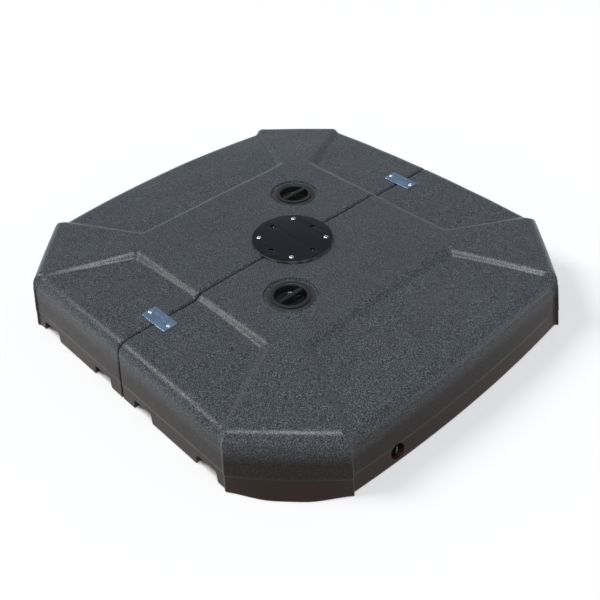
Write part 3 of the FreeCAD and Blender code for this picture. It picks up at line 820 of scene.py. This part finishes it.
class Nodes:
    """Short calls for wiring a procedural material."""

    def __init__(self, name):
        self.material = bpy.data.materials.new(name)
        self.material.use_nodes = True
        self.tree = self.material.node_tree
        self.shader = self.tree.nodes["Principled BSDF"]
        self.coords = self.add("ShaderNodeTexCoord").outputs["Object"]

    def add(self, kind):
        return self.tree.nodes.new(kind)

    def join(self, source, target):
        self.tree.links.new(source, target)

    def noise(self, scale, detail=3.0, roughness=0.55):
        node = self.add("ShaderNodeTexNoise")
        node.inputs["Scale"].default_value = scale
        node.inputs["Detail"].default_value = detail
        node.inputs["Roughness"].default_value = roughness
        self.join(self.coords, node.inputs["Vector"])
        return node.outputs["Fac"]

    def pebbles(self, scale):
        node = self.add("ShaderNodeTexVoronoi")
        node.feature = "SMOOTH_F1"
        node.inputs["Scale"].default_value = scale
        node.inputs["Smoothness"].default_value = 0.6
        self.join(self.coords, node.inputs["Vector"])
        return node.outputs["Distance"]

    def remap(self, value, low, high, to_low, to_high):
        node = self.add("ShaderNodeMapRange")
        node.inputs["From Min"].default_value = low
        node.inputs["From Max"].default_value = high
        node.inputs["To Min"].default_value = to_low
        node.inputs["To Max"].default_value = to_high
        self.join(value, node.inputs["Value"])
        return node.outputs["Result"]

    def maths(self, operation, a, b):
        node = self.add("ShaderNodeMath")
        node.operation = operation
        for socket, value in zip(node.inputs, (a, b)):
            if isinstance(value, (int, float)):
                socket.default_value = value
            else:
                self.join(value, socket)
        return node.outputs["Value"]

    def blend(self, factor, a, b):
        node = self.add("ShaderNodeMix")
        node.data_type = "RGBA"
        for socket, value in zip((node.inputs[0], node.inputs[6], node.inputs[7]), (factor, a, b)):
            if isinstance(value, (int, float, tuple)):
                socket.default_value = value
            else:
                self.join(value, socket)
        return node.outputs[2]

    def bump(self, height, distance, strength=1.0, under=None):
        node = self.add("ShaderNodeBump")
        node.inputs["Distance"].default_value = distance
        node.inputs["Strength"].default_value = strength
        self.join(height, node.inputs["Height"])
        if under is not None:
            self.join(under, node.inputs["Normal"])
        return node.outputs["Normal"]

    def edges(self, low, high):
        """1 on outward edges and 0 on the flat."""
        node = self.add("ShaderNodeNewGeometry")
        return self.remap(node.outputs["Pointiness"], low, high, 0.0, 1.0)

    def split(self):
        node = self.add("ShaderNodeSeparateXYZ")
        self.join(self.coords, node.inputs["Vector"])
        return node.outputs

    def from_axis(self):
        """Distance from the Z axis."""
        x, y, _ = self.split()
        square = self.maths("ADD", self.maths("MULTIPLY", x, x), self.maths("MULTIPLY", y, y))
        return self.maths("SQRT", square, 0.0)

    def set(self, name, value):
        socket = self.shader.inputs[name]
        if isinstance(value, (int, float, tuple)):
            socket.default_value = value
        else:
            self.join(value, socket)


# Painted light: the first tint below paints a blue sky reflection onto the tank's top.
SKY_REFLECTION_TINT = (0.90, 1.0, 1.14)
# Painted light: the wall and foot tints paint shade and a warm reflection of the ground.
WALL_SHADE_AND_BOUNCE_TINT = (1.45, 1.0, 0.80)
FOOT_SHADE_AND_BOUNCE_TINT = (2.0, 1.0, 0.70)
CAP_TINT = (0.97, 1.0, 1.04)
COAT_TINT = (0.75, 1.0, 1.45)


def grey(level, tint=(1.0, 1.0, 1.0)):
    return tuple(level * t for t in tint) + (1.0,)


def shell_plastic():
    """Blow-moulded polyethylene: a pebbled skin with pale specks, walls and foot painted darker and
    browner than the top as painted shade and painted ground reflection, a top tinted blue as
    painted sky reflection, and a smooth foot and seam edge."""
    n = Nodes("shell_plastic")
    x, _, height = n.split()
    # Painted shade: below this height band the walls get darker, browner colours than the lit top.
    lit_top_over_shaded_wall = n.remap(height, 0.075, 0.122, 0.0, 1.0)
    above_lip = n.remap(height, 0.0385, 0.0405, 0.0, 1.0)
    off_seam = n.remap(n.maths("ABSOLUTE", x, 0.0), 0.0055, 0.0085, 0.0, 1.0)
    grained = n.maths("MULTIPLY", above_lip, off_seam)
    cloud = n.remap(n.noise(7.0, 4.0), 0.35, 0.65, 0.0, 1.0)
    grit = n.maths("ADD", n.noise(520.0, 2.0, 0.6), n.maths("MULTIPLY", n.noise(260.0, 1.0), 0.2))
    speck = n.remap(grit, 0.55, 0.78, 0.0, 1.0)
    # The top's blue tint is a painted sky reflection, not the plastic's own colour.
    skin = n.blend(cloud, grey(0.022, SKY_REFLECTION_TINT), grey(0.027, SKY_REFLECTION_TINT))
    top = n.blend(speck, skin, grey(0.150, SKY_REFLECTION_TINT))
    wall = n.blend(speck, grey(0.003, WALL_SHADE_AND_BOUNCE_TINT), grey(0.020, WALL_SHADE_AND_BOUNCE_TINT))
    foot = n.blend(cloud, grey(0.008, FOOT_SHADE_AND_BOUNCE_TINT), grey(0.011, FOOT_SHADE_AND_BOUNCE_TINT))
    # This blend paints shade and warm ground reflection onto the walls and foot.
    base = n.blend(above_lip, foot, n.blend(lit_top_over_shaded_wall, wall, top))
    rubbed = n.maths("MULTIPLY", n.edges(0.53, 0.62), 0.2)
    n.set("Base Color", n.blend(rubbed, base, grey(0.14)))
    satin = n.remap(n.noise(60.0, 3.0), 0.3, 0.7, 0.04, 0.12)
    n.set("Roughness", n.maths("ADD", n.maths("MULTIPLY", satin, off_seam), 0.24))
    n.set("Specular IOR Level", 0.19)
    lumps = n.bump(n.maths("MULTIPLY", n.pebbles(430.0), grained), 0.0005, 0.22)
    n.set("Normal", n.bump(n.noise(900.0, 2.0), 0.0002, 0.12, lumps))
    return n.material


def moulded_plastic(name, level, roughness, rim=None):
    """Injection-moulded plastic with a faint swirl. Rim is a radius, and the roughness added
    outside it on a turned piece."""
    n = Nodes(name)
    swirl = n.remap(n.noise(45.0, 4.0), 0.35, 0.7, 0.0, 1.0)
    n.set("Base Color", n.blend(swirl, grey(level, CAP_TINT), grey(level * 1.5, CAP_TINT)))
    rough = n.remap(n.noise(160.0, 3.0), 0.3, 0.7, roughness * 0.85, roughness * 1.2)
    if rim is not None:
        radius, added = rim
        outside = n.remap(n.from_axis(), radius - 0.0006, radius + 0.0006, 0.0, added)
        rough = n.maths("ADD", rough, outside)
    n.set("Roughness", rough)
    n.set("Normal", n.bump(n.noise(1400.0, 2.0), 0.00012, 0.3))
    return n.material


def coated_steel():
    """Satin black powder coat over a flat disc, with a faint orange-peel and a rim rubbed paler."""
    n = Nodes("black_steel")
    rim = n.remap(n.from_axis(), PLATE_RADIUS - 0.0016, PLATE_RADIUS - 0.0004, 0.0, 1.0)
    patchy = n.remap(n.noise(60.0, 3.0), 0.40, 0.62, 0.15, 0.9)
    haze = n.remap(n.noise(22.0, 4.0), 0.3, 0.7, 0.0, 1.0)
    base = n.blend(haze, grey(0.005, COAT_TINT), grey(0.009, COAT_TINT))
    n.set("Base Color", n.blend(n.maths("MULTIPLY", rim, patchy), base, grey(0.12)))
    n.set("Specular IOR Level", 0.30)
    n.set("Roughness", n.remap(n.noise(180.0, 3.0), 0.3, 0.7, 0.32, 0.44))
    n.set("Normal", n.bump(n.noise(620.0, 2.0), 0.00025, 0.35))
    return n.material


def plated_metal(name, colour, roughness, brushed=True):
    """Bare or plated metal with cloudy colour, and long fine scratches where it is brushed."""
    n = Nodes(name)
    n.set("Metallic", 1.0)
    cloud = n.remap(n.noise(90.0, 4.0), 0.35, 0.65, 0.0, 1.0)
    darker = tuple(c * 0.82 for c in colour[:3]) + (1.0,)
    n.set("Base Color", n.blend(cloud, darker, colour))
    n.set("Roughness", n.remap(n.noise(240.0, 3.0), 0.3, 0.7, roughness * 0.8, roughness * 1.3))
    scratches = n.noise(300.0, 2.0)
    if brushed:
        stretch = n.add("ShaderNodeMapping")
        stretch.inputs["Scale"].default_value = (0.06, 1.0, 1.0)
        n.join(n.coords, stretch.inputs["Vector"])
        lines = n.add("ShaderNodeTexNoise")
        lines.inputs["Scale"].default_value = 900.0
        n.join(stretch.outputs["Vector"], lines.inputs["Vector"])
        scratches = lines.outputs["Fac"]
    n.set("Normal", n.bump(scratches, 0.0001, 0.3))
    return n.material


def soft_rubber():
    """Black rubber with a dull, slightly patchy skin."""
    n = Nodes("rubber")
    patches = n.remap(n.noise(120.0), 0.35, 0.65, 0.0, 1.0)
    n.set("Base Color", n.blend(patches, grey(0.012), grey(0.022)))
    n.set("Roughness", n.remap(n.noise(400.0), 0.3, 0.7, 0.6, 0.8))
    n.set("Normal", n.bump(n.noise(1500.0), 0.0001, 0.4))
    return n.material


MATERIALS = {
    "shell_plastic": shell_plastic(),
    "cap_plastic": moulded_plastic("cap_plastic", 0.010, 0.16, rim=(CAP_DISH_RADIUS, 0.28)),
    "collar_plastic": moulded_plastic("collar_plastic", 0.022, 0.42),
    "black_steel": coated_steel(),
    "zinc_steel": plated_metal("zinc_steel", (0.40, 0.58, 0.84, 1.0), 0.34),
    "bright_steel": plated_metal("bright_steel", (0.86, 0.88, 0.92, 1.0), 0.16, brushed=False),
    "brass": plated_metal("brass", (0.78, 0.56, 0.24, 1.0), 0.30),
    "rubber": soft_rubber(),
}


# ---------------------------------------------------------------- assembly

def dress(piece, name, body, slot, *nodes):
    """Name a finished piece, give it its material, and set it on its body in place of its nodes."""
    piece.name = name
    piece.data.name = name
    piece.data.materials.clear()
    piece.data.materials.append(MATERIALS[slot])
    bpy.context.view_layer.update()
    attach(piece, body)
    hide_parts(*nodes)


def twin(piece):
    """The same piece on the other tank, half a turn round the mast."""
    copy = in_scene(piece.name + "_twin", piece.data)
    copy.matrix_world = Matrix.Rotation(math.pi, 4, "Z") @ piece.matrix_world
    return copy


def in_both_tanks(piece, name, body, slot):
    """Put a finished right-hand piece, and its twin on the left, on their bodies."""
    bpy.context.view_layer.update()
    other = twin(piece)
    for half, item in (("right", piece), ("left", other)):
        ride_on = body if body == "root" else f"{body}_{half}"
        dress(item, f"{name}_{half}_look", ride_on, slot, f"{name}_{half}")


def dress_screws(node, places, seat, shank_radius, head_radius, turns):
    """Screws as long and as high as their node, with their heads on the seat."""
    low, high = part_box(node)
    sizes = (shank_radius, seat - low[2], head_radius, high[2] - seat)
    dress(screw_set(node + "_look", places, seat, sizes, turns), node + "_look", "root",
          "bright_steel", node)


in_both_tanks(make_tank(), "shell", "root", "shell_plastic")

for node, piece, body, slot in (
        ("filler_collar", make_collar(), "root", "collar_plastic"),
        ("filler_seal", ring_piece("filler_seal_right", 0.0397), "filler_lift", "rubber"),
        ("filler_cap", make_cap(), "filler_cap", "cap_plastic")):
    piece.location = (FILLER[0], FILLER[1], 0)
    in_both_tanks(piece, node, body, slot)

in_both_tanks(along_x(make_plug(), "drain_plug_right"), "drain_plug", "drain_plug", "cap_plastic")

dress(make_plate(), "mast_plate_look", "root", "black_steel", "mast_plate")
dress_screws("mast_plate_screws", PLATE_SCREWS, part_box("mast_plate")[1][2], 0.0025, 0.0055,
             (12, 57, 33, 80))
dress(make_nuts(), "mast_nuts_look", "root", "zinc_steel", "mast_nuts")

for end in ("front", "rear"):
    node = f"joining_strap_{end}"
    middle_y = middle_of(node)[1]
    places = [(-STRAP_SCREW_X, middle_y), (STRAP_SCREW_X, middle_y)]
    dress(make_strap(node, places), f"{node}_look", "root", "zinc_steel", node)
    dress_screws(f"strap_screws_{end}", places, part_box(node)[1][2], 0.002, 0.005, (21, 64))

slots = {part["node"]: part["material_slot"] for part in frame["record"]["subparts"]}
for node, item in frame["nodes"].items():
    if item.type == "MESH":
        item.data.materials.clear()
        item.data.materials.append(MATERIALS[slots[node]])


# ---------------------------------------------------------------- floor, light and camera

FLOOR_REACH = 20.0
FLOOR_GREY = 0.81


def make_floor():
    """Plain pale floor that reaches far enough to meet the pale horizon."""
    sheet = bpy.data.meshes.new("floor")
    corners = [(sx * FLOOR_REACH, sy * FLOOR_REACH, 0) for sx, sy in DIAGONALS]
    sheet.from_pydata(corners, [], [(0, 1, 2, 3)])
    floor = in_scene("floor", sheet)
    paint = bpy.data.materials.new("floor")
    paint.use_nodes = True
    shader = paint.node_tree.nodes["Principled BSDF"]
    shader.inputs["Base Color"].default_value = (FLOOR_GREY, FLOOR_GREY, FLOOR_GREY, 1)
    shader.inputs["Roughness"].default_value = 0.9
    sheet.materials.append(paint)


def far_light(name, direction, strength, softness, colour):
    """A soft light from a direction, so far away that it lights the floor evenly."""
    lamp = bpy.data.lights.new(name, "SUN")
    lamp.energy = strength
    lamp.angle = math.radians(softness)
    lamp.color = colour
    holder = in_scene(name, lamp)
    holder.location = Vector(direction).normalized() * 4
    holder.rotation_euler = (-Vector(direction)).to_track_quat("-Z", "Y").to_euler()


def light_the_studio():
    """Pale surroundings, paler towards the horizon, with a light overhead and one from the left."""
    world = bpy.data.worlds.new("studio")
    world.use_nodes = True
    tree = world.node_tree
    background = tree.nodes["Background"]
    background.inputs["Color"].default_value = (0.93, 0.96, 1.0, 1)
    coords = tree.nodes.new("ShaderNodeTexCoord")
    split = tree.nodes.new("ShaderNodeSeparateXYZ")
    fade = tree.nodes.new("ShaderNodeMapRange")
    fade_sizes = {"From Min": 0.08, "From Max": 0.35, "To Min": 0.95, "To Max": 0.20}
    for socket, number in fade_sizes.items():
        fade.inputs[socket].default_value = number
    tree.links.new(coords.outputs["Generated"], split.inputs["Vector"])
    tree.links.new(split.outputs["Z"], fade.inputs["Value"])
    tree.links.new(fade.outputs["Result"], background.inputs["Strength"])
    bpy.context.scene.world = world
    far_light("overhead", (0.203, -0.187, 0.961), 2.4, 22, (0.97, 0.98, 1.0))
    far_light("left_key", (-0.57, -0.42, 0.70), 1.4, 22, (1.0, 0.98, 0.95))


CAMERA_PLACE = (1.1353, -1.0285, 1.2267)
CAMERA_ANGLES = (47.363, 39.2207, -1.9047)
CAMERA_LENS = 49.853
SENSOR_WIDTH = 36.0


def set_camera():
    """Camera in front of one corner and above it, with a slight roll."""
    azimuth, elevation, roll = (math.radians(v) for v in CAMERA_ANGLES)
    right = Vector((math.cos(azimuth), math.sin(azimuth), 0))
    level = math.cos(elevation)
    back = Vector((math.sin(azimuth) * level, -math.cos(azimuth) * level, math.sin(elevation)))
    up = back.cross(right)
    rolled_right = right * math.cos(roll) + up * math.sin(roll)
    rolled_up = up * math.cos(roll) - right * math.sin(roll)
    data = bpy.data.cameras.new("camera")
    data.lens, data.sensor_width = CAMERA_LENS, SENSOR_WIDTH
    camera = in_scene("camera", data)
    turn = Matrix((rolled_right, rolled_up, back)).transposed().to_4x4()
    camera.matrix_world = Matrix.Translation(CAMERA_PLACE) @ turn
    bpy.context.scene.camera = camera


make_floor()
light_the_studio()
set_camera()
bpy.context.scene.view_settings.view_transform = "Standard"
bpy.context.view_layer.update()
